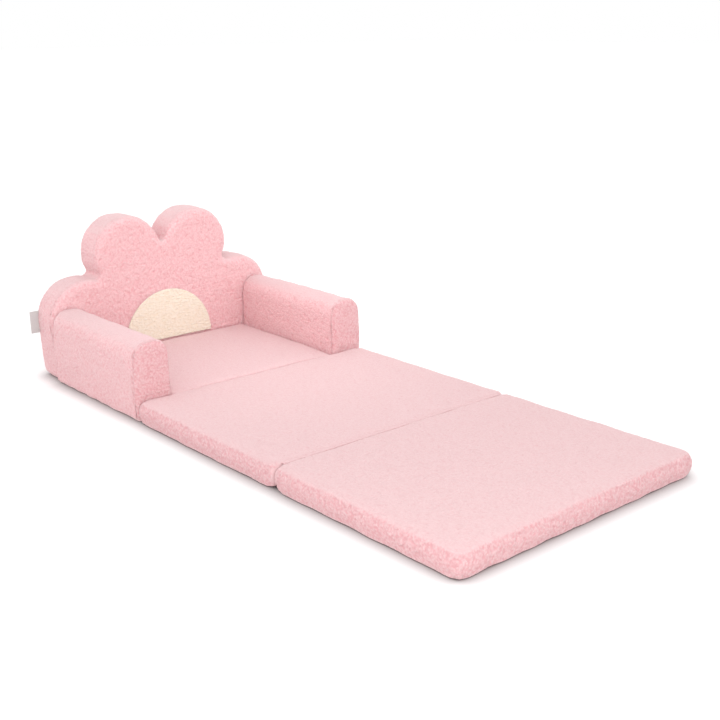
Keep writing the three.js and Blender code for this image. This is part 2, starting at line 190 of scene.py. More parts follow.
def floor_finish():
    material, tree, output = new_material("studio_floor")
    rays = tree.nodes.new("ShaderNodeLightPath")
    contact = node_of(tree, "ShaderNodeAmbientOcclusion", Distance=CONTACT_REACH)
    shadow = calculate(tree, "POWER", contact.outputs["AO"], CONTACT_POWER)
    tone = calculate(tree, "MULTIPLY", shadow, FLOOR_SEEN)
    seen = node_of(tree, "ShaderNodeBsdfDiffuse", Color=tone)
    bounce = node_of(
        tree, "ShaderNodeBsdfDiffuse", Color=(FLOOR_BOUNCE, FLOOR_BOUNCE, FLOOR_BOUNCE, 1)
    )
    opaque = mix_shaders(tree, rays.outputs["Is Camera Ray"], bounce, seen)
    geometry = tree.nodes.new("ShaderNodeNewGeometry")
    near = calculate(tree, "LESS_THAN", rays.outputs["Ray Length"], UNDER_REACH)
    through = calculate(tree, "MAXIMUM", geometry.outputs["Backfacing"], near)
    clear = tree.nodes.new("ShaderNodeBsdfTransparent")
    surface = mix_shaders(tree, through, opaque, clear)
    tree.links.new(surface.outputs[0], output.inputs["Surface"])
    return material


floor.data.materials.append(floor_finish())
print("floor", tuple(floor.dimensions))

# %% Light
SKY_SIDE, SKY_TOP = 1.79, 0.88
LAMP_PLACE = Vector((-1.15, -2.0, 0.95))
LAMP_AIM = Vector((-0.1, -1.1, 0.05))
LAMP_SIZE = 1.0
LAMP_POWER = 9.5
FILL_PLACE = Vector((-0.25, -0.6, 1.2))
FILL_AIM = Vector((0.15, -0.02, 0.05))
FILL_SIZE = 0.6
FILL_SPREAD = math.radians(60)
FILL_POWER = 0.66

world = bpy.data.worlds.new("studio")
bpy.context.scene.world = world
world.use_nodes = True
tree = world.node_tree
sky = tree.nodes["Background"]
sky.inputs["Color"].default_value = (1, 1, 1, 1)
direction = tree.nodes.new("ShaderNodeTexCoord")
parts = tree.nodes.new("ShaderNodeSeparateXYZ")
tree.links.new(direction.outputs["Generated"], parts.inputs[0])
slope = calculate(tree, "ABSOLUTE", parts.outputs[2])
strength = calculate(tree, "MULTIPLY_ADD", slope, SKY_TOP - SKY_SIDE, SKY_SIDE)
rays = tree.nodes.new("ShaderNodeLightPath")
brightness = tree.nodes.new("ShaderNodeMix")
brightness.data_type = "FLOAT"
for index, value in ((0, rays.outputs["Is Camera Ray"]), (2, strength), (3, 1)):
    feed(tree, brightness.inputs[index], value)
tree.links.new(brightness.outputs[0], sky.inputs["Strength"])


def soft_lamp(name, place, aim, size, power, spread=math.pi):
    bpy.ops.object.light_add(type="AREA", location=tuple(place))
    lamp = bpy.context.active_object
    lamp.name = name
    lamp.data.size = size
    lamp.data.energy = power
    lamp.data.spread = spread
    lamp.rotation_euler = (place - aim).to_track_quat("Z", "Y").to_euler()


soft_lamp("soft_key", LAMP_PLACE, LAMP_AIM, LAMP_SIZE, LAMP_POWER)
soft_lamp("sofa_fill", FILL_PLACE, FILL_AIM, FILL_SIZE, FILL_POWER, FILL_SPREAD)
print("sky", SKY_SIDE, SKY_TOP, "key", LAMP_POWER, "fill", FILL_POWER)

scene = bpy.context.scene
scene.view_settings.view_transform = "Standard"

# %% [markdown]
# ## The fleece
# The covers are sewn from teddy fleece, a knit whose short fibres are curled into soft pebbles. The
# pebbles are modelled in the mesh further down, and each point keeps how deep it lies in the pile.
# The material turns that into painted shade, a deeper pink between the curls and on upright walls,
# paints faces that look up a little darker, and adds the fine curls and fibres too small to model.

# %% Fleece material
# painted light and shade: a paler tip colour, and a deeper pink root colour for the gaps between
# the curls
FLEECE_LIT_AND_SHADED_TINTS = {
    "pink_fleece": ((0.92, 0.655, 0.665), (0.80, 0.40, 0.425)),
    "cream_fleece": ((0.93, 0.875, 0.76), (0.87, 0.77, 0.61)),
}
CURL = 0.0043
FIBRE = 0.0012
DRIFT, DRIFT_SIZE = 0.003, 0.006
GAP_START, GAP_END = 0.25, 0.75
# painted highlight: the middles of the curls are paler
TIP_PAINTED_LIGHT = 0.15
CURL_HEIGHT = 0.8
RELIEF, LEAST_RELIEF = 0.0030, 0.45
# painted shade: faces that look up are this much darker
TOP_PAINTED_SHADE = 0.19


def two_tones(tree, share, first, second):
    """A colour between two, by a share."""
    mix = tree.nodes.new("ShaderNodeMix")
    mix.data_type = "RGBA"
    for index, value in ((0, share), (6, (*first, 1)), (7, (*second, 1))):
        feed(tree, mix.inputs[index], value)
    return mix.outputs[2]


def attribute_of(tree, name):
    """What each point of the mesh keeps under a name."""
    node = tree.nodes.new("ShaderNodeAttribute")
    node.attribute_name = name
    return node.outputs["Fac"]


def place_of(tree):
    """Where each point lies in the piece's own coordinates."""
    return tree.nodes.new("ShaderNodeTexCoord").outputs["Object"]


def skin_of(tree, output, **inputs):
    """The shader of a surface, linked to the material's output."""
    skin = node_of(tree, "ShaderNodeBsdfPrincipled", **inputs)
    tree.links.new(skin.outputs[0], output.inputs["Surface"])


def fleece_finish(name, stretch=(1, 1, 1)):
    tip, root = FLEECE_LIT_AND_SHADED_TINTS[name]
    material, tree, output = new_material(name)
    turn = node_of(tree, "ShaderNodeMapping", Vector=place_of(tree), Scale=stretch).outputs[0]
    drift = node_of(tree, "ShaderNodeTexNoise", Vector=turn, Scale=1 / DRIFT_SIZE, Detail=1.0)
    shift = tree.nodes.new("ShaderNodeVectorMath")
    shift.operation = "MULTIPLY_ADD"
    for socket, value in zip(shift.inputs, (drift.outputs["Color"], (DRIFT, DRIFT, DRIFT), turn)):
        feed(tree, socket, value)
    curls = node_of(tree, "ShaderNodeTexVoronoi", Vector=shift.outputs[0], Scale=1 / CURL)
    curls.feature = "SMOOTH_F1"
    far = curls.outputs["Distance"]
    fibres = node_of(tree, "ShaderNodeTexNoise", Vector=turn, Scale=1 / FIBRE, Detail=3.0)
    # painted shade: the gaps between the curls are deeper in colour, most of all on upright walls
    relief_and_shade = attribute_of(tree, "relief_and_shade")
    gap_shade_range = node_of(
        tree, "ShaderNodeMapRange", Value=far, From_Min=GAP_START, From_Max=GAP_END,
        To_Min=-TIP_PAINTED_LIGHT, To_Max=relief_and_shade,
    )
    # painted shade kept in the mesh is added to the painted shade of the gaps
    depth = calculate(tree, "ADD", gap_shade_range.outputs[0], attribute_of(tree, "pile_shade"))
    depth.node.use_clamp = True
    colour = two_tones(tree, depth, tip, root)
    # painted shade: faces that look up are a little darker all over
    top_shade = attribute_of(tree, "top_shade")
    shade = calculate(tree, "MULTIPLY_ADD", top_shade, -TOP_PAINTED_SHADE, 1)
    shaded = tree.nodes.new("ShaderNodeVectorMath")
    shaded.operation = "SCALE"
    tree.links.new(colour, shaded.inputs[0])
    tree.links.new(shade, shaded.inputs["Scale"])
    high = calculate(tree, "MULTIPLY_ADD", far, -CURL_HEIGHT, fibres.outputs["Fac"])
    firm = calculate(tree, "ADD", relief_and_shade, LEAST_RELIEF)
    bump = node_of(tree, "ShaderNodeBump", Distance=RELIEF, Strength=firm, Height=high)
    skin_of(
        tree, output, Base_Color=shaded.outputs[0], Normal=bump.outputs[0], Roughness=0.95,
        Specular_IOR_Level=0.2, Sheen_Weight=0.3, Sheen_Roughness=0.5,
        Sheen_Tint=(1, 0.93, 0.93, 1),
    )
    return material


pink_fleece = fleece_finish("pink_fleece")
cream_fleece = fleece_finish("cream_fleece", (0.6, 1, 1))


def plain_finish(name, colour, roughness=0.9):
    material, tree, output = new_material(name)
    skin_of(tree, output, Base_Color=(*colour, 1), Roughness=roughness)
    return material


knit_backing = plain_finish("knit_backing", (0.80, 0.66, 0.66))

# %% [markdown]
# ## From a foam core to a padded form
# A cover is sewn a little smaller than its foam, so the foam fills it and the cloth takes a soft,
# full shape. Here the core's mesh is copied and remeshed to even squares, and blown up by a
# cloth simulation. The move of each point is capped softly, and only a share of it is kept: the
# pad gets the even thickness of its cover, and the cloth still pulls in a little at the edges.

# %% Copying and remeshing a core
VOXEL = 0.005


def pick(piece):
    """Select one piece alone and make it the active one."""
    bpy.ops.object.select_all(action="DESELECT")
    piece.select_set(True)
    bpy.context.view_layer.objects.active = piece


def edit(piece):
    """Open a piece in edit mode with nothing selected."""
    pick(piece)
    bpy.ops.object.mode_set(mode="EDIT")
    bpy.ops.mesh.select_mode(type="VERT")
    bpy.ops.mesh.select_all(action="DESELECT")


def close_edit():
    bpy.ops.object.mode_set(mode="OBJECT")


def apply_modifier(piece, kind, **values):
    """Add one modifier, set its values and apply it."""
    modifier = piece.modifiers.new(kind.lower(), kind)
    for name, value in values.items():
        setattr(modifier, name, value)
    pick(piece)
    bpy.ops.object.modifier_apply(modifier=modifier.name)


def merged_copy(node, name):
    """A new piece with a CAD node's mesh, its loose triangles merged."""
    piece = bpy.data.objects.new(name, frame["nodes"][node].data.copy())
    bpy.context.collection.objects.link(piece)
    piece.data.materials.clear()
    edit(piece)
    bpy.ops.mesh.select_all(action="SELECT")
    bpy.ops.mesh.remove_doubles(threshold=0.00001)
    close_edit()
    return piece


def points(piece):
    """The piece's points as an array, one row each."""
    values = np.empty(3 * len(piece.data.vertices), dtype=np.float32)
    piece.data.vertices.foreach_get("co", values)
    return values.reshape(-1, 3).astype(float)


def set_points(piece, values):
    piece.data.vertices.foreach_set("co", values.astype(np.float32).ravel())
    piece.data.update()


def normals(piece):
    """The way out of the piece at each of its points."""
    values = np.empty(3 * len(piece.data.vertices), dtype=np.float32)
    piece.data.vertices.foreach_get("normal", values)
    return values.reshape(-1, 3).astype(float)


# %% Blowing it up
SWELL_FRAMES = 20
SWELL_SHARE = 0.15
PRESSURE = 4
TENSION = 20
MOST_MOVE = 0.0052
COVER = 0.0058


def blow_up(piece):
    """Fill the piece like a cushion, and let no point move much further than the most."""
    before = points(piece)
    cover = normals(piece) * COVER
    cloth = piece.modifiers.new("cloth", "CLOTH")
    settings = cloth.settings
    settings.use_pressure = True
    settings.uniform_pressure_force = PRESSURE
    settings.effector_weights.gravity = 0
    for kind in ("tension", "compression", "shear"):
        setattr(settings, f"{kind}_stiffness", TENSION)
    settings.quality = 4
    cloth.collision_settings.use_collision = False
    cloth.point_cache.frame_start = 1
    cloth.point_cache.frame_end = SWELL_FRAMES
    for step in range(1, SWELL_FRAMES + 1):
        scene.frame_set(step)
    pick(piece)
    bpy.ops.object.modifier_apply(modifier="cloth")
    scene.frame_set(1)
    move = points(piece) - before
    length = np.linalg.norm(move, axis=1, keepdims=True) + 1e-9
    capped = move * MOST_MOVE * np.tanh(length / MOST_MOVE) / length
    set_points(piece, before + cover + SWELL_SHARE * (capped - cover))
    print(piece.name, len(before), "points, moved at most", round(float(length.max()), 4))


def padded_form(node, name):
    """The closed, blown-up form of one foam core."""
    piece = merged_copy(node, name)
    apply_modifier(piece, "REMESH", mode="VOXEL", voxel_size=VOXEL)
    blow_up(piece)
    apply_modifier(piece, "SMOOTH", factor=0.5, iterations=2)
    return piece


# %% [markdown]
# ## Shaping, seams and pile
# The blown-up form is pressed flat where it meets the floor or its neighbour. A seam is a groove
# between two soft swells, which are the seam allowance under the cloth. The form is then
# cut along its seams into the panels that the cover was sewn from, and each panel gets a wall.
# Last, two displacements press the gaps between the curls into the outer side.

# %% Pressing, swelling and creasing
GROOVE_REACH = 0.00126
WELT_PLACE = 0.0035
WELT_REACH = 0.00196


def smooth_step(values, start, end):
    share = np.clip((values - start) / (end - start), 0, 1)
    return share * share * (3 - 2 * share)


def wander(co, size, seed):
    """Gentle unevenness between -1 and 1, the same in each run."""
    values = np.zeros(len(co))
    for turn in range(5):
        angle = seed * 1.7 + turn * 2.4
        way = np.array([math.cos(angle), math.sin(angle), 0.6 * math.cos(3 * angle)])
        values += np.sin(co @ way * (2 * math.pi / size) * (1 + 0.23 * turn) + angle * 5)
    return values / 3.2


def outline_distance(co, low, high, corner):
    """How far each point lies outside a rounded rectangle in plan, and the way out of it."""
    middle = (np.array(low) + np.array(high)) / 2
    half = (np.array(high) - np.array(low)) / 2 - corner
    offset = co[:, :2] - middle
    beyond = np.abs(offset) - half
    outside = np.maximum(beyond, 0)
    reach = np.linalg.norm(outside, axis=1)
    distance = reach + np.minimum(beyond.max(axis=1), 0) - corner
    way = np.where(reach[:, None] > 1e-7, outside, (beyond >= beyond.max(axis=1)[:, None]) * 1.0)
    way = way / np.linalg.norm(way, axis=1, keepdims=True)
    return distance, way * np.sign(offset)


def square_edge(co, distance, way, height, radius, power, rise=1):
    """Push a round edge out towards a square one. A rise of -1 is for an edge at the base."""
    across = np.clip((distance + radius) / radius, 0, None)
    up = np.clip(((co[:, 2] - height) * rise + radius) / radius, 0, None)
    here = (across > 0) & (up > 0)
    a, u = across[here], up[here]
    bend = power[here]
    grow = np.hypot(a, u) / (a**bend + u**bend) ** (1 / bend) - 1
    co[here, :2] += way[here] * (a * grow * radius[here])[:, None]
    co[here, 2] += rise * u * grow * radius[here]


def square_corner(co, low, high, radius, power):
    """The same for the four upright corners, seen from above."""
    for side_x, bound_x in ((-1, low[0]), (1, high[0])):
        for side_y, bound_y in ((-1, low[1]), (1, high[1])):
            a = np.clip(((co[:, 0] - bound_x) * side_x + radius) / radius, 0, None)
            b = np.clip(((co[:, 1] - bound_y) * side_y + radius) / radius, 0, None)
            here = (a > 0) & (b > 0)
            a, b = a[here], b[here]
            grow = np.hypot(a, b) / (a**power + b**power) ** (1 / power) - 1
            co[here, 0] += side_x * a * grow * radius
            co[here, 1] += side_y * b * grow * radius


def uneven(piece, co, depth, size, seed):
    """Let the surface rise and dip gently here and there."""
    return co + normals(piece) * (0.5 * depth * wander(co, size, seed))[:, None]


def bell(distance, reach):
    """One at no distance, and hardly anything beyond twice the reach."""
    return np.exp(-((distance / reach) ** 2))


def groove(distance, depth, welt):
    """The inward move beside a seam: a groove with a soft swell on both sides."""
    dip = depth * bell(distance, GROOVE_REACH)
    return dip - welt * bell(np.abs(distance) - WELT_PLACE, WELT_REACH)


# %% Cutting panels and giving them a wall
WALL = 0.0045


def cut(piece, place, way, keep=None, rings=()):
    """Bisect a piece. keep='back' clears what lies ahead of the plane, 'front' what lies behind."""
    for offset in (0, *rings):
        edit(piece)
        bpy.ops.mesh.select_all(action="SELECT")
        bpy.ops.mesh.bisect(
            plane_co=tuple(Vector(place) + Vector(way) * offset),
            plane_no=way,
            clear_outer=keep == "back",
            clear_inner=keep == "front",
        )
        close_edit()


def cut_outline(piece, low, high):
    """Cut along the four sides of a rectangle in plan."""
    for axis in (0, 1):
        for side, corner in ((-1, low), (1, high)):
            place, way = [0, 0, 0], [0, 0, 0]
            place[axis], way[axis] = corner[axis], side
            cut(piece, place, way)


def delete_faces(piece, low, high, top=math.inf):
    """Delete the faces inside a rectangle in plan, up to a height."""
    edit(piece)
    bpy.ops.mesh.select_mode(type="FACE")
    close_edit()
    for face in piece.data.polygons:
        x, y, z = face.center
        face.select = low[0] < x < high[0] and low[1] < y < high[1] and z < top
    bpy.ops.object.mode_set(mode="EDIT")
    bpy.ops.mesh.delete(type="FACE")
    close_edit()


def duplicate(piece, name):
    twin = bpy.data.objects.new(name, piece.data.copy())
    bpy.context.collection.objects.link(twin)
    return twin


def mirror(piece, name):
    """The same piece on the other side, with its faces turned the right way again."""
    twin = duplicate(piece, name)
    co = points(twin)
    co[:, 0] *= -1
    set_points(twin, co)
    twin.data.flip_normals()
    return twin


def give_wall(piece, fleece):
    """A hollow cover: fleece outside, its knit backing inside."""
    for material in (fleece, knit_backing, fleece):
        piece.data.materials.append(material)
    apply_modifier(
        piece, "SOLIDIFY", thickness=WALL, offset=-1, use_rim=True, material_offset=1,
        material_offset_rim=2,
    )
    edit(piece)
    bpy.ops.mesh.select_mode(type="FACE")
    piece.active_material_index = 2
    bpy.ops.object.material_slot_select()
    bpy.ops.mesh.region_to_loop()
    bpy.ops.mesh.mark_sharp()
    bpy.ops.mesh.select_mode(type="FACE")
    bpy.ops.mesh.select_all(action="DESELECT")
    piece.active_material_index = 0
    bpy.ops.object.material_slot_select()
    bpy.ops.mesh.subdivide(number_cuts=1, smoothness=1)
    bpy.ops.mesh.select_less(use_face_step=True)
    bpy.ops.mesh.vertices_smooth(factor=0.5, repeat=1)
    close_edit()
    bpy.ops.object.shade_smooth()


# %% Curls
PEBBLE = 0.0053
PEBBLE_DEPTH = 0.0028
FLUFF = 0.0024
FLUFF_DEPTH = 0.0009
FACING_SIDE, FACING_UP = 0.4, 0.95
CALM_BASE, FULL_CURLS = 0.001, 0.007
TOP_SHARE = 0.4
FOLD_CALM, FOLD_REACH = 0.85, 0.006
# painted shade: a base tone, deeper on upright walls and in the gaps between curls; the relief
# strength also sets how strongly the gaps are painted
TONE, UPRIGHT_PAINTED_SHADE = 0.35, 0.07
GAP_PAINTED_SHADE, GAP_FROM, GAP_MEAN = 0.75, 0.15, 0.09
BASE_RELIEF_AND_SHADE, UPRIGHT_RELIEF_AND_SHADE = 0.1, 0.45


def curl_texture(name, kind, size):
    texture = bpy.data.textures.new(name, kind)
    texture.noise_scale = size
    if kind == "VORONOI":
        texture.distance_metric = "DISTANCE_SQUARED"
    return texture


pebble_texture = curl_texture("pebbles", "VORONOI", PEBBLE)
fluff_texture = curl_texture("fluff", "CLOUDS", FLUFF)


def keep_pile_shade(piece, depth, relief_and_shade, top_shade):
    """Keep each point's pile tone with its painted shade, its relief with the painted contrast of
    its gaps, and the painted shade of faces that look up.
    """
    for name, values in (("pile_shade", depth), ("relief_and_shade", relief_and_shade), ("top_shade", top_shade)):
        kept = piece.data.attributes.new(name, "FLOAT", "POINT")
        kept.data.foreach_set("value", values.astype(np.float32))


def curl(piece, stretch=(1, 1, 1), share=1.0, crisp=1.0, folds=()):
    """Press the gaps between the curls inwards, and keep a painted shade from how deep each point
    lies.

    Where children lie, on top, the pile is pressed flatter, and at a fold it is flat too.
    """
    outer, edge = set(), set()
    for face in piece.data.polygons:
        if face.material_index == 0:
            outer.update(face.vertices)
        elif face.material_index == 2:
            edge.update(face.vertices)
    group = piece.vertex_groups.new(name="fleece")
    before = points(piece)
    upright = 1 - smooth_step(normals(piece)[:, 2], FACING_SIDE, FACING_UP)
    weight = smooth_step(before[:, 2], CALM_BASE, FULL_CURLS)
    weight *= TOP_SHARE + (1 - TOP_SHARE) * upright
    for fold in folds:
        calm = 1 - FOLD_CALM * bell(before[:, 1] - fold, FOLD_REACH)
        weight *= calm
        upright *= calm
    for index in outer:
        group.add([index], float(weight[index]), "REPLACE")
    grid = bpy.data.objects.new("curl_grid", None)
    grid.scale = stretch
    bpy.context.collection.objects.link(grid)
    for texture, depth in ((pebble_texture, PEBBLE_DEPTH), (fluff_texture, FLUFF_DEPTH)):
        apply_modifier(
            piece, "DISPLACE", texture=texture, texture_coords="OBJECT", texture_coords_object=grid,
            vertex_group="fleece", mid_level=0, strength=-depth * share,
        )
    bpy.data.objects.remove(grid)
    co = points(piece)
    depth = np.linalg.norm(co - before, axis=1) / (PEBBLE_DEPTH * share)
    co[sorted(edge), 1] = before[sorted(edge), 1]
    set_points(piece, co)
    # painted shade in the gaps between the curls, and on upright walls
    gap_shade = GAP_PAINTED_SHADE * np.clip(depth - GAP_FROM, 0, 1) - GAP_MEAN
    tone = TONE + UPRIGHT_PAINTED_SHADE * upright + crisp * gap_shade
    keep_pile_shade(piece, tone, (BASE_RELIEF_AND_SHADE + UPRIGHT_RELIEF_AND_SHADE * upright) * crisp, 1 - upright)
    piece.vertex_groups.clear()


def finish_cover(piece, body, nodes, stretch=(1, 1, 1), crisp=1.0, folds=()):
    """The last steps that all covers share."""
    give_wall(piece, pink_fleece)
    curl(piece, stretch, crisp=crisp, folds=folds)
    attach(piece, body)
    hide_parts(*nodes)
    print(piece.name, len(piece.data.polygons), "faces")


# %% [markdown]
# ## Arms
# Each arm is a foam block with a rounded top in a sleeve of fleece. A cap closes its front, and the
# cloth swells a little on both sides of their seam. The right arm is shaped and the left one is
# its mirror image, before each gets its own curls.

# %% Arm forms
ARM_INNER = 0.2543
ARM_HEIGHT = 0.2
ARM_BULGE, ARM_OUTSET = 0.006, 0.0015
ARM_OUTSIDE = (0.30, 0.345)
ARM_FRONT, ARM_REAR = -0.2121, 0.2117
ARM_SEAM = -0.2019
ARM_RINGS = (-0.0085, -0.004, -0.0018, 0.0018, 0.004, 0.008)
ARM_GROOVE, ARM_WELT = 0.0005, 0.0014
ARM_LONG_CURLS = (1, 1.5, 1)
SEAM_WAY = np.array([1, 0.2, 1])
FREE_SWELL = 0.003
FREE_INSIDE = (0.060, 0.11)
FREE_FRONT = (0.060, 0.08)
SEAM_FADE = (0.0, 0.02)
SEAM_GAP = 0.0001
FLOOR_GAP = 0.0003


def shape_arm():
    """The right arm: flat against the seat and the mat, free to swell above them."""
    form = padded_form("right_arm_foam_core", "arm_form")
    cut(form, (0, ARM_SEAM, 0), (0, 1, 0), rings=ARM_RINGS)
    co = uneven(form, points(form), depth=0.0022, size=0.09, seed=2)
    rise = smooth_step(co[:, 2], *FREE_INSIDE)
    co[:, 0] = np.maximum(co[:, 0], ARM_INNER - FREE_SWELL * rise)
    bulge = ARM_BULGE * np.sin(np.pi * np.clip(co[:, 2] / ARM_HEIGHT, 0, 1)) + ARM_OUTSET
    co[:, 0] += bulge * smooth_step(co[:, 0], *ARM_OUTSIDE)
    co[:, 1] = np.maximum(co[:, 1], ARM_FRONT - FREE_SWELL * smooth_step(co[:, 2], *FREE_FRONT))
    co[:, 2] = np.maximum(co[:, 2], FLOOR_GAP)
    set_points(form, co)
    way = normals(form) * SEAM_WAY
    move = groove(co[:, 1] - ARM_SEAM, ARM_GROOVE, ARM_WELT) * smooth_step(co[:, 2], *SEAM_FADE)
    co -= way * move[:, None]
    co[:, 1] = np.minimum(co[:, 1], ARM_REAR)
    set_points(form, co)
    return form


arm_form = shape_arm()
for side, form in (("right", arm_form), ("left", mirror(arm_form, "left_form"))):
    cap = duplicate(form, f"{side}_arm_cap")
    cut(cap, (0, ARM_SEAM - SEAM_GAP, 0), (0, 1, 0), keep="back")
    sleeve = duplicate(form, f"{side}_arm_sleeve")
    cut(sleeve, (0, ARM_SEAM + SEAM_GAP, 0), (0, 1, 0), keep="front")
    finish_cover(cap, "sofa_unit", [f"{side}_arm_front_cap"])
    finish_cover(sleeve, "sofa_unit", [f"{side}_arm_cover_sleeve"], ARM_LONG_CURLS, crisp=0.7)
    bpy.data.objects.remove(form)

# %% [markdown]
# ## Seat and mats
# The three pads are foam slabs of the same thickness, so their tops run level when the sofa is
# flipped open. Their top edges are soft, and at the folds they are squarer, where one pad
# leans on the next.

# %% Pad forms
PAD_TOP = 0.0580
SIDE_BAND = 0.02
TOP_EDGE, BASE_EDGE = 0.016, 0.012
FOLD_EDGE, FOLD_BASE = 0.005, 0.022
TOP_POWER, BASE_POWER, FOLD_POWER = 4.5, 8.0, 8.0
FOLD_BASE_POWER = 2.2
CORNER_POWER = 4.5
BASE_MARGIN = 0.0006
BASE_TOP = 0.003


def press_pad(co, low, high, corner, bulge):
    """Hold a pad in its space: flat below and on top, with walls that swell a little."""
    co[:, 2] = np.clip(co[:, 2], FLOOR_GAP, PAD_TOP)
    distance, way = outline_distance(co, low, high, corner)
    swell = bulge * np.sin(np.pi * np.clip(co[:, 2] / PAD_TOP, 0, 1))
    co[:, :2] += way * (swell * smooth_step(distance, -SIDE_BAND, 0))[:, None]


def finish_pad(pad, body, folds):
    """Open the base where the underside cloth is sewn in, and finish the cover."""
    piece = bpy.data.objects[f"{pad}_cover_fleece"]
    low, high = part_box(f"{pad}_underside_cloth")
    low = [value - BASE_MARGIN for value in low]
    high = [value + BASE_MARGIN for value in high]
    cut_outline(piece, low, high)
    delete_faces(piece, low, high, BASE_TOP)
    finish_cover(piece, body, [f"{pad}_cover"], folds=folds)


# %% Seat
SEAT_LOW, SEAT_HIGH = np.array([-0.2537, -0.2120]), np.array([0.2537, 0.2120])
SEAT_CORNER, SEAT_CORNER_POWER = 0.009, 4
SEAT_GAP = 0.0001
DIP, DIP_REACH, DIP_LENGTH = 0.0055, 0.055, 0.8
TOP_HALF = 0.03

seat = padded_form("seat_foam_core", "seat_cover_fleece")
co = uneven(seat, points(seat), depth=0.0012, size=0.13, seed=4)
press_pad(co, SEAT_LOW, SEAT_HIGH, SEAT_CORNER, 0)
distance, way = outline_distance(co, SEAT_LOW, SEAT_HIGH, SEAT_CORNER)
even = np.ones(len(co))
square_edge(co, distance, way, PAD_TOP, FOLD_EDGE * even, FOLD_POWER * even)
square_edge(co, distance, way, FLOOR_GAP, FOLD_EDGE * even, SEAT_CORNER_POWER * even, rise=-1)
square_corner(co, SEAT_LOW, SEAT_HIGH, SEAT_CORNER, SEAT_CORNER_POWER)
# the two front corners are drawn down a little, between the arm and the mat
for corner in (SEAT_LOW[0], SEAT_HIGH[0]):
    away = np.hypot(co[:, 0] - corner, DIP_LENGTH * (co[:, 1] - SEAT_LOW[1]))
    co[:, 2] -= np.where(co[:, 2] > TOP_HALF, DIP * bell(away, DIP_REACH), 0)
co[:, :2] = np.clip(co[:, :2], SEAT_LOW + SEAT_GAP, SEAT_HIGH - SEAT_GAP)
co[:, 2] = np.clip(co[:, 2], FLOOR_GAP, PAD_TOP)
set_points(seat, co)
finish_pad("seat", "sofa_unit", [SEAT_LOW[1], SEAT_HIGH[1]])

# %% Mats
MAT_HALF = 0.350
FLEECE_WIDTH = 1.010
MAT_CORNER = 0.020
MAT_BULGE = 0.0035
MAT_GAP = 0.0001
MIDDLE_MAT_Y = (-0.7466, -0.2126)
END_MAT_Y = (-1.2732, -0.7472)


def at_folds(side, fold, folds):
    """A value that goes from the one at the sides to the one at the folds."""
    return side + (fold - side) * folds


def shape_mat(mat, front, rear, front_folds, seed):
    piece = padded_form(f"{mat}_foam_core", f"{mat}_cover_fleece")
    co = uneven(piece, points(piece), depth=0.0014, size=0.13, seed=seed)
    low, high = (-MAT_HALF, front), (MAT_HALF, rear)
    press_pad(co, low, high, MAT_CORNER, MAT_BULGE)
    distance, way = outline_distance(co, low, high, MAT_CORNER)
    folds = np.where(way[:, 1] > 0, 1.0, front_folds) * way[:, 1] ** 2
    square_edge(
        co, distance, way, PAD_TOP, at_folds(TOP_EDGE, FOLD_EDGE, folds),
        at_folds(TOP_POWER, FOLD_POWER, folds),
    )
    square_edge(
        co, distance, way, FLOOR_GAP, at_folds(BASE_EDGE, FOLD_BASE, folds),
        at_folds(BASE_POWER, FOLD_BASE_POWER, folds), rise=-1,
    )
    square_corner(co, low, high, MAT_CORNER, CORNER_POWER)
    co[:, 0] *= FLEECE_WIDTH
    co[:, 1] = np.minimum(co[:, 1], rear - MAT_GAP)
    if front_folds:
        co[:, 1] = np.maximum(co[:, 1], front + MAT_GAP)
    co[:, 2] = np.clip(co[:, 2], FLOOR_GAP, PAD_TOP)
    set_points(piece, co)


shape_mat("middle_mat", *MIDDLE_MAT_Y, front_folds=1.0, seed=1)
shape_mat("end_mat", *END_MAT_Y, front_folds=0.0, seed=7)
finish_pad("middle_mat", "middle_mat", [MIDDLE_MAT_Y[1], MIDDLE_MAT_Y[0]])
finish_pad("end_mat", "end_mat", [END_MAT_Y[1]])

# %% [markdown]
# ## Flower back
# The back is one thick foam board, cut to four petals, in a cover of three panels. Its front edge
# is soft and rounded, and the seams of the band run just behind the front and before the rear.

# %% Back
BACK_FRONT, BACK_REAR = 0.2124, 0.3185
BACK_SEAMS = (0.2285, 0.3011)
BACK_WIDTH = 1.008
NOTCHES = ((0, 0.345), (-0.2035, 0.2736), (0.2035, 0.2736))
FLOWER_MIDDLE = np.array([0, 0.061])
NOTCH_DEEPER, NOTCH_REACH = 0.0055, 0.0075
BACK_RINGS = (-0.004, -0.0018, 0.0018, 0.004)
BACK_GROOVE = 0.0003
BAND_SLANT = 0.3
BACK_CURLS, BACK_CRISP = (1.3, 1, 1), 0.65


def crease_notches(co):
    """Deepen the notches between the petals to creases, as tight cloth is drawn in there."""
    for notch in NOTCHES:
        inwards = FLOWER_MIDDLE - notch
        inwards /= np.linalg.norm(inwards)
        away = np.linalg.norm(co[:, [0, 2]] - notch, axis=1)
        move = NOTCH_DEEPER * bell(away, NOTCH_REACH)
        co[:, [0, 2]] += inwards * move[:, None]


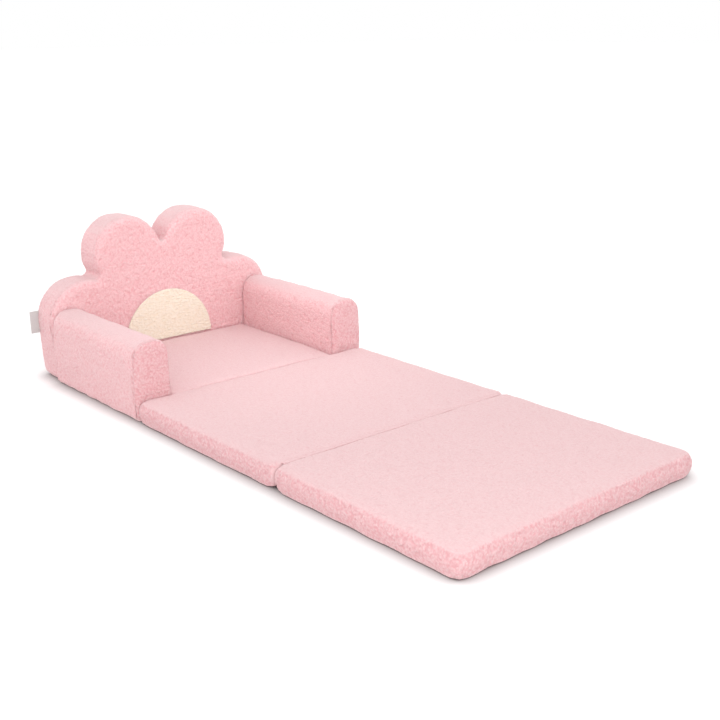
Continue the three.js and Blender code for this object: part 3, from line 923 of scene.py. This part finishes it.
back = padded_form("back_foam_core", "back_form")
for seam in BACK_SEAMS:
    cut(back, (0, seam, 0), (0, 1, 0), rings=BACK_RINGS)
co = uneven(back, points(back), depth=0.0022, size=0.12, seed=3) * [BACK_WIDTH, 1, 1]
co[:, 1] = np.clip(co[:, 1], BACK_FRONT, BACK_REAR)
co[:, 2] = np.maximum(co[:, 2], FLOOR_GAP)
crease_notches(co)
set_points(back, co)
way = normals(back) * SEAM_WAY
move = sum(groove(co[:, 1] - seam, BACK_GROOVE, BACK_GROOVE) for seam in BACK_SEAMS)
move *= smooth_step(co[:, 2], *SEAM_FADE) * (np.abs(way).max(axis=1) > BAND_SLANT)
set_points(back, co - way * move[:, None])
panels = {
    "back_front_panel": ("back_cover_front_panel", None, BACK_SEAMS[0]),
    "back_side_band": ("back_cover_side_band", BACK_SEAMS[0], BACK_SEAMS[1]),
    "back_rear_panel": ("back_cover_rear_panel", BACK_SEAMS[1], None),
}
for name, (node, start, end) in panels.items():
    panel = duplicate(back, name)
    if start:
        cut(panel, (0, start + SEAM_GAP, 0), (0, 1, 0), keep="front")
    if end:
        cut(panel, (0, end - SEAM_GAP, 0), (0, 1, 0), keep="back")
    finish_cover(panel, "sofa_unit", [node], BACK_CURLS, crisp=BACK_CRISP)
bpy.data.objects.remove(back)

# %% [markdown]
# ## Cream flower centre
# The flower's centre is a disc of cream fleece, sewn flat on the front panel, and the seat hides
# its lower half. Its curls lie in wavy rows. A low cylinder is cut at the seat and rounded by a
# remesh, and its front is pressed in by the rows and by the same two curl textures.

# %% Centre disc
DISC_RADIUS, DISC_HEIGHT = 0.140, 0.061
DISC_BACK, DISC_FRONT = 0.2120, 0.2090
DISC_CUT = 0.0582
DISC_VOXEL = 0.0015
DISC_EDGE = 0.0012
DISC_CURLS = (1.9, 1, 1)
ROW_PITCH = 0.0078
ROW_DEPTH = 0.0006
# how far the rows swing, over what length, and how that changes from row to row
ROW_WAVE = (0.28, 0.0062, 0.011)
ROW_SWAY = (0.2, 0.019, 0.008)

bpy.ops.mesh.primitive_cylinder_add(
    vertices=160, radius=DISC_RADIUS, depth=DISC_BACK - DISC_FRONT,
    location=(0, (DISC_BACK + DISC_FRONT) / 2, DISC_HEIGHT), rotation=(math.pi / 2, 0, 0),
)
disc = bpy.context.active_object
disc.name = "cream_flower_centre"
bpy.ops.object.transform_apply()
edit(disc)
bpy.ops.mesh.select_all(action="SELECT")
bpy.ops.mesh.bisect(
    plane_co=(0, 0, DISC_CUT), plane_no=(0, 0, 1), clear_inner=True, use_fill=True
)
close_edit()
apply_modifier(disc, "REMESH", mode="VOXEL", voxel_size=DISC_VOXEL)
apply_modifier(disc, "SMOOTH", factor=0.5, iterations=3)
co = points(disc)
front = co[:, 1] < DISC_BACK - DISC_EDGE
phase = co[:, 2] / ROW_PITCH
share, length, turn = ROW_WAVE
phase += share * np.sin(co[:, 0] / length + 3 * np.sin(co[:, 2] / turn))
share, length, turn = ROW_SWAY
phase += share * np.sin(co[:, 0] / length + co[:, 2] / turn)
co[:, 1] += np.where(front, ROW_DEPTH * (0.5 + 0.5 * np.sin(2 * math.pi * phase)), 0)
set_points(disc, co)
disc.data.materials.append(cream_fleece)
curl(disc, DISC_CURLS, share=0.4, crisp=0.8)
pick(disc)
bpy.ops.object.shade_smooth()
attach(disc, "sofa_unit")
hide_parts("back_centre_disc")
print("disc", len(disc.data.polygons), "faces")

# %% [markdown]
# ## Foam inside
# The foam cores are hidden, but the sofa is mostly foam. Each keeps its core's form, a little
# smaller than the cover's hollow, with edges rounded as cut foam gets under a tight cover.

# %% Foam cores
FOAM_VOXEL = 0.008
FOAM_INSET = 0.0022
FOAM_TINTS = (0.90, 0.84, 0.68), (0.84, 0.76, 0.58)
FOAM_TONE = 0.05
CELL, CELL_DEPTH = 0.0012, 0.0005
ARM_FOAM_GAP = 0.006


def foam_finish():
    material, tree, output = new_material("cut_foam")
    place = place_of(tree)
    cells = node_of(tree, "ShaderNodeTexVoronoi", Vector=place, Scale=1 / CELL)
    tone = node_of(tree, "ShaderNodeTexNoise", Vector=place, Scale=1 / FOAM_TONE, Detail=2.0)
    colour = two_tones(tree, tone.outputs["Fac"], *FOAM_TINTS)
    bump = node_of(
        tree, "ShaderNodeBump", Strength=0.5, Distance=CELL_DEPTH, Height=cells.outputs["Distance"]
    )
    skin_of(tree, output, Base_Color=colour, Normal=bump.outputs[0], Roughness=0.95)
    return material


cut_foam = foam_finish()
CORES = {
    "back_foam_core": "sofa_unit",
    "left_arm_foam_core": "sofa_unit",
    "right_arm_foam_core": "sofa_unit",
    "seat_foam_core": "sofa_unit",
    "middle_mat_foam_core": "middle_mat",
    "end_mat_foam_core": "end_mat",
}
for node, body in CORES.items():
    foam = merged_copy(node, node.replace("_core", "_block"))
    apply_modifier(foam, "REMESH", mode="VOXEL", voxel_size=FOAM_VOXEL)
    apply_modifier(foam, "DISPLACE", strength=-FOAM_INSET, mid_level=0)
    apply_modifier(foam, "SMOOTH", factor=0.5, iterations=3)
    co = points(foam)
    if "arm" in node:
        co[:, 1] = np.minimum(co[:, 1], ARM_REAR - ARM_FOAM_GAP)
    if "back" in node:
        crease_notches(co)
    set_points(foam, co)
    foam.data.materials.append(cut_foam)
    pick(foam)
    bpy.ops.object.shade_smooth()
    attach(foam, body)
    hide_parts(node)
    print(foam.name, len(foam.data.polygons), "faces")

# %% [markdown]
# ## Undersides
# The fleece ends at the base, and a flat woven cloth closes it there, with a row of stitches along
# its hem and a zip near the rear. The cloth is a grid, cut open for the zip and given a slight
# unevenness and a thickness. It lies recessed in the cover, clear of the floor.

# %% Woven cloth and tape materials
WAVE_SCALE = 0.31
CAST_SIZE, CAST_DARK, CAST_LIGHT = 0.03, 0.62, 0.92
THREAD_DEPTH = 0.0003
ENAMEL_TINTS = (0.80, 0.44, 0.48), (0.74, 0.38, 0.42)
WEAR = 0.002


def woven_finish(name, light, dark, thread):
    """A plain weave: two sets of waves, one across the other."""
    material, tree, output = new_material(name)
    place = place_of(tree)
    waves = []
    for axis in ("X", "Y"):
        wave = node_of(
            tree, "ShaderNodeTexWave", Vector=place, Scale=WAVE_SCALE / thread, Distortion=0.4
        )
        wave.bands_direction = axis
        waves.append(wave.outputs["Fac"])
    weave = calculate(tree, "MAXIMUM", *waves)
    tone = node_of(tree, "ShaderNodeTexNoise", Vector=place, Scale=1 / CAST_SIZE, Detail=3.0)
    cast = node_of(
        tree, "ShaderNodeMapRange", Value=tone.outputs["Fac"], To_Min=CAST_DARK, To_Max=CAST_LIGHT
    )
    colour = two_tones(tree, calculate(tree, "MULTIPLY", weave, cast.outputs[0]), dark, light)
    bump = node_of(tree, "ShaderNodeBump", Strength=0.4, Distance=THREAD_DEPTH, Height=weave)
    skin_of(
        tree, output, Base_Color=colour, Normal=bump.outputs[0], Roughness=0.85, Sheen_Weight=0.1
    )
    return material


base_weave = woven_finish("base_weave", (0.88, 0.62, 0.64), (0.66, 0.40, 0.43), 0.0011)
tape_weave = woven_finish("tape_weave", (0.86, 0.54, 0.57), (0.70, 0.38, 0.42), 0.0008)


def enamel_finish():
    material, tree, output = new_material("slider_enamel")
    wear = node_of(
        tree, "ShaderNodeTexNoise", Vector=place_of(tree), Scale=1 / WEAR, Detail=4.0
    ).outputs["Fac"]
    colour = two_tones(tree, wear, *ENAMEL_TINTS)
    roughness = node_of(tree, "ShaderNodeMapRange", Value=wear, To_Min=0.28, To_Max=0.45)
    skin_of(tree, output, Base_Color=colour, Roughness=roughness.outputs[0], Coat_Weight=0.4)
    return material


slider_enamel = enamel_finish()

# %% Underside cloths and hem stitches
CLOTH_LOW = 0.0012
CLOTH_THICK = 0.0011
CLOTH_STEP = 0.008
SLOT_GAP = 0.0004
HEM = 0.007
STITCH_PITCH = 0.006
STITCH_LENGTH = 0.0042
STITCH_RADIUS = 0.00035
STITCH_PINCH, STITCH_TIP = 0.82, 0.0003
STITCH_LEVEL = 0.0015
CLOTH_WAVER, CLOTH_WAVE = 0.0004, 0.11
SHARP = math.radians(40)


def smooth(piece, sharp=SHARP):
    """Shade a piece smooth, but for edges sharper than an angle."""
    pick(piece)
    bpy.ops.object.shade_smooth_by_angle(angle=sharp)


def grid_plane(name, low, high, step, height):
    """A flat grid between two corners."""
    size = np.array(high) - np.array(low)
    counts = [max(2, int(round(value / step))) for value in size]
    middle = (np.array(low) + np.array(high)) / 2
    bpy.ops.mesh.primitive_grid_add(
        x_subdivisions=counts[0], y_subdivisions=counts[1], size=1,
        location=(middle[0], middle[1], height),
    )
    piece = bpy.context.active_object
    piece.name = name
    piece.scale = (size[0], size[1], 1)
    bpy.ops.object.transform_apply()
    return piece


def row_of(name, unit, places, turn):
    """Copies of one small mesh, joined in one piece: each has a place and a turn about Z."""
    source = points(unit)
    faces = [tuple(face.vertices) for face in unit.data.polygons]
    rows, all_faces = [], []
    for index, (place, angle) in enumerate(zip(places, turn)):
        around = np.array(Matrix.Rotation(angle, 3, "Z"))
        rows.append(source @ around.T + np.array(place))
        start = index * len(source)
        all_faces += [tuple(start + corner for corner in face) for face in faces]
    mesh = bpy.data.meshes.new(name)
    mesh.from_pydata(np.concatenate(rows).tolist(), [], all_faces)
    piece = bpy.data.objects.new(name, mesh)
    bpy.context.collection.objects.link(piece)
    bpy.data.objects.remove(unit)
    pick(piece)
    bpy.ops.object.shade_smooth()
    return piece


def stitch_unit():
    """One stitch of thread: a short rod with pinched ends, along X."""
    bpy.ops.mesh.primitive_cylinder_add(
        vertices=6, radius=STITCH_RADIUS, depth=STITCH_LENGTH, rotation=(0, math.pi / 2, 0)
    )
    unit = bpy.context.active_object
    bpy.ops.object.transform_apply()
    edit(unit)
    bpy.ops.mesh.select_mode(type="FACE")
    bpy.ops.mesh.select_face_by_sides(number=6)
    bpy.ops.mesh.inset(thickness=0.00015)
    close_edit()
    co = points(unit)
    inner = np.hypot(co[:, 1], co[:, 2]) < 0.9 * STITCH_RADIUS
    co[inner, 0] += np.sign(co[inner, 0]) * STITCH_TIP
    co[~inner, 0] *= STITCH_PINCH
    set_points(unit, co)
    return unit


def hem_stitches(name, low, high, height):
    places, turns = [], []
    for axis, fixed in ((0, low[1]), (0, high[1]), (1, low[0]), (1, high[0])):
        start, end = low[axis], high[axis]
        count = int((end - start) / STITCH_PITCH)
        pitch = (end - start) / count
        for index in range(count):
            along = start + (index + 0.5) * pitch
            places.append((along, fixed, height) if axis == 0 else (fixed, along, height))
            turns.append(0 if axis == 0 else math.pi / 2)
    return row_of(name, stitch_unit(), places, turns)


def underside(pad, body, seed):
    low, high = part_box(f"{pad}_underside_cloth")
    tape_low, tape_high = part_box(f"{pad}_zip_tape")
    cloth = grid_plane(f"{pad}_base_cloth", low[:2], high[:2], CLOTH_STEP, CLOTH_LOW)
    slot = [value - SLOT_GAP for value in tape_low], [value + SLOT_GAP for value in tape_high]
    cut_outline(cloth, *slot)
    delete_faces(cloth, *slot)
    co = points(cloth)
    co[:, 2] += CLOTH_WAVER * (1 + wander(co, CLOTH_WAVE, seed))
    set_points(cloth, co)
    apply_modifier(cloth, "SOLIDIFY", thickness=CLOTH_THICK, offset=1)
    cloth.data.materials.append(base_weave)
    smooth(cloth)
    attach(cloth, body)
    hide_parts(f"{pad}_underside_cloth")
    inner_low = (low[0] + HEM, low[1] + HEM)
    inner_high = (high[0] - HEM, high[1] - HEM)
    stitches = hem_stitches(f"{pad}_hem_stitches", inner_low, inner_high, STITCH_LEVEL)
    stitches.data.materials.append(tape_weave)
    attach(stitches, body)


underside("seat", "sofa_unit", 2)
underside("middle_mat", "middle_mat", 5)
underside("end_mat", "end_mat", 8)

# %% [markdown]
# ## Zips
# A zip is two woven tapes whose inner edges carry a nylon coil, and a slider that meshes the coil's
# teeth. Each tape is a strip with a raised cord along the coil, and one tooth is modelled and
# repeated along both sides. The slider is a flat enamelled body with rounded corners and no pull.

# %% Zips
TOOTH_PITCH = 0.0024
TOOTH_REACH = 0.0021
TOOTH_LEVEL = 0.00249
TOOTH_WIDE, TOOTH_HIGH, TOOTH_ROUND = 0.0014, 0.0011, 0.00035
TOOTH_OFF = 0.0009
COIL_MARGIN = 0.006
TAPE_LEVEL, TAPE_THICK, TAPE_STEP = 0.0030, 0.0006, 0.0045
TAPE_RINGS = (-0.0045, -0.003, 0.003, 0.0045)
CORD_DEPTH, CORD_PLACE, CORD_REACH = 0.0006, 0.0036, 0.0012
SLIDER_CUTS = (-0.18, 0.18)
NOSE_NARROWER, TAIL_NARROWER = 0.28, 0.08
TAPER = (0.1, 0.5)
SLIDER_ROUND, SLIDER_SHARP = 0.0006, math.radians(35)
PANEL_INSET, PANEL_DEPTH, PANEL_AREA = 0.0012, 0.0003, 1e-5


def tooth_unit():
    """One loop of the coil: a small block with a rounded head, across the zip."""
    bpy.ops.mesh.primitive_cube_add(size=1)
    unit = bpy.context.active_object
    unit.scale = (TOOTH_WIDE, 2 * TOOTH_REACH, TOOTH_HIGH)
    bpy.ops.object.transform_apply()
    edit(unit)
    bpy.ops.mesh.select_all(action="SELECT")
    bpy.ops.mesh.bevel(offset=TOOTH_ROUND, segments=1, affect="EDGES")
    close_edit()
    return unit


def zip_tapes(pad, body):
    low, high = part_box(f"{pad}_zip_tape")
    middle = (low[1] + high[1]) / 2
    tape = grid_plane(f"{pad}_zip_strip", low[:2], high[:2], TAPE_STEP, TAPE_LEVEL)
    cut(tape, (0, middle, 0), (0, 1, 0), rings=TAPE_RINGS)
    co = points(tape)
    co[:, 2] -= CORD_DEPTH * bell(np.abs(co[:, 1] - middle) - CORD_PLACE, CORD_REACH)
    set_points(tape, co)
    apply_modifier(tape, "SOLIDIFY", thickness=TAPE_THICK, offset=1)
    tape.data.materials.append(tape_weave)
    smooth(tape)
    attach(tape, body)
    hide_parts(f"{pad}_zip_tape")
    places = []
    count = int((high[0] - low[0] - 2 * COIL_MARGIN) / TOOTH_PITCH)
    for index in range(count):
        side = TOOTH_OFF if index % 2 else -TOOTH_OFF
        along = low[0] + COIL_MARGIN + index * TOOTH_PITCH
        places.append((along, middle + side, TOOTH_LEVEL))
    coil = row_of(f"{pad}_zip_coil", tooth_unit(), places, [0] * count)
    coil.data.materials.append(slider_enamel)
    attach(coil, body)


def zip_slider(pad, body):
    low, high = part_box(f"{pad}_zip_slider")
    middle = [(low[i] + high[i]) / 2 for i in range(3)]
    bpy.ops.mesh.primitive_cube_add(size=1, location=middle)
    slider = bpy.context.active_object
    slider.name = f"{pad}_zip_runner"
    slider.scale = [high[i] - low[i] for i in range(3)]
    bpy.ops.object.transform_apply()
    for share in SLIDER_CUTS:
        cut(slider, (middle[0] + share * (high[0] - low[0]), 0, 0), (1, 0, 0))
    co = points(slider)
    away = (co[:, 0] - middle[0]) / (high[0] - low[0])
    narrow = 1 - NOSE_NARROWER * smooth_step(-away, *TAPER)
    narrow -= TAIL_NARROWER * smooth_step(away, *TAPER)
    co[:, 1] = middle[1] + (co[:, 1] - middle[1]) * narrow
    set_points(slider, co)
    apply_modifier(slider, "BEVEL", width=SLIDER_ROUND, segments=3, limit_method="ANGLE")
    edit(slider)
    close_edit()
    for face in slider.data.polygons:
        face.select = face.normal.z < -0.9 and face.area > PANEL_AREA
    bpy.ops.object.mode_set(mode="EDIT")
    bpy.ops.mesh.select_mode(type="FACE")
    bpy.ops.mesh.inset(thickness=PANEL_INSET, depth=-PANEL_DEPTH, use_boundary=True)
    close_edit()
    slider.data.materials.append(slider_enamel)
    smooth(slider, SLIDER_SHARP)
    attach(slider, body)
    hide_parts(f"{pad}_zip_slider")


for pad, body in (("seat", "sofa_unit"), ("middle_mat", "middle_mat"), ("end_mat", "end_mat")):
    zip_tapes(pad, body)
    zip_slider(pad, f"{pad}_slider")

# %% [markdown]
# ## Hinge cloths
# Two strips of cloth are the sofa's hinges. One joins the tops of the two mats, deep in their
# crease, and one joins the undersides of the seat and the middle mat.

# %% Hinge strips
STRIP_STEP = 0.002
STRIP_WAVER, STRIP_WAVE = 0.0003, 0.05
STRIP_TONE, STRIP_RELIEF_AND_SHADE = 0.4, 0.1


def hinge_strip(name, node, thickness, material):
    low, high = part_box(node)
    middle = (low[2] + high[2]) / 2
    strip = grid_plane(name, low[:2], high[:2], STRIP_STEP, middle)
    co = points(strip)
    co[:, 2] += STRIP_WAVER * wander(co, STRIP_WAVE, 3)
    set_points(strip, co)
    apply_modifier(strip, "SOLIDIFY", thickness=thickness, offset=0)
    strip.data.materials.append(material)
    if material == pink_fleece:
        # painted shade: the fleece strip is toned as a face that looks up, a little darker all over
        deep = np.ones(len(strip.data.vertices))
        keep_pile_shade(strip, STRIP_TONE * deep, STRIP_RELIEF_AND_SHADE * deep, deep)
    smooth(strip)
    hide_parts(node)
    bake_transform(strip)


hinge_strip(
    "mat_hinge_strip", "mat_hinge_cloth", 0.0016, pink_fleece,
)
hinge_strip(
    "front_hinge_strip", "front_hinge_cloth", 0.0014, base_weave,
)

# %% [markdown]
# ## Side label
# A short loop of woven tape is caught in the back's rear seam. It is bare. A strip is laid flat as
# a grid, folded over at its outer end by moving its points along the path, and given a thickness.

# %% Label
LABEL_PLY, PLY_GAP = 0.00035, 0.00005
LABEL_STEP = 0.0012
FOLD_RADIUS = 0.00030
SWAY, SWAY_TURN = 0.0011, 2.4
SATIN_TINTS = (0.50, 0.49, 0.48), (0.60, 0.59, 0.58)
RIB, RIB_DEPTH = 0.0009, 0.0002


def label_finish():
    material, tree, output = new_material("label_satin")
    rib = node_of(
        tree, "ShaderNodeTexWave", Vector=place_of(tree), Scale=WAVE_SCALE / RIB, Distortion=0.3
    )
    rib.bands_direction = "Z"
    raised = rib.outputs["Fac"]
    bump = node_of(tree, "ShaderNodeBump", Strength=0.3, Distance=RIB_DEPTH, Height=raised)
    skin_of(
        tree, output, Base_Color=two_tones(tree, raised, *SATIN_TINTS), Normal=bump.outputs[0],
        Roughness=0.55, Sheen_Weight=0.15,
    )
    return material


low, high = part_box("side_label")
middle_y = (low[1] + high[1]) / 2
reach = float(high[0] - low[0])
height = float(high[2] - low[2])
label = grid_plane("side_label_tape", (0, 0), (2 * reach, height), LABEL_STEP, 0)
co = points(label)
along, up = co[:, 0] - reach, co[:, 1]
bend = np.clip(along / FOLD_RADIUS, -math.pi / 2, math.pi / 2)
beyond = np.maximum(np.abs(along) - FOLD_RADIUS * math.pi / 2, 0)
folded = np.empty_like(co)
folded[:, 0] = low[0] + FOLD_RADIUS - FOLD_RADIUS * np.cos(bend) + beyond
folded[:, 1] = middle_y + (FOLD_RADIUS + PLY_GAP) * np.sin(bend)
folded[:, 2] = low[2] + up
sway = SWAY * smooth_step(high[0] - folded[:, 0], 0.0, reach)
folded[:, 1] += sway * np.sin((folded[:, 2] - low[2]) / height * SWAY_TURN)
set_points(label, folded)
apply_modifier(label, "SOLIDIFY", thickness=LABEL_PLY, offset=0)
label.data.materials.append(label_finish())
smooth(label)
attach(label, "sofa_unit")
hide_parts("side_label")
print("label", round(2 * reach, 3), round(height, 3))

# %% Finish
low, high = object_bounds()
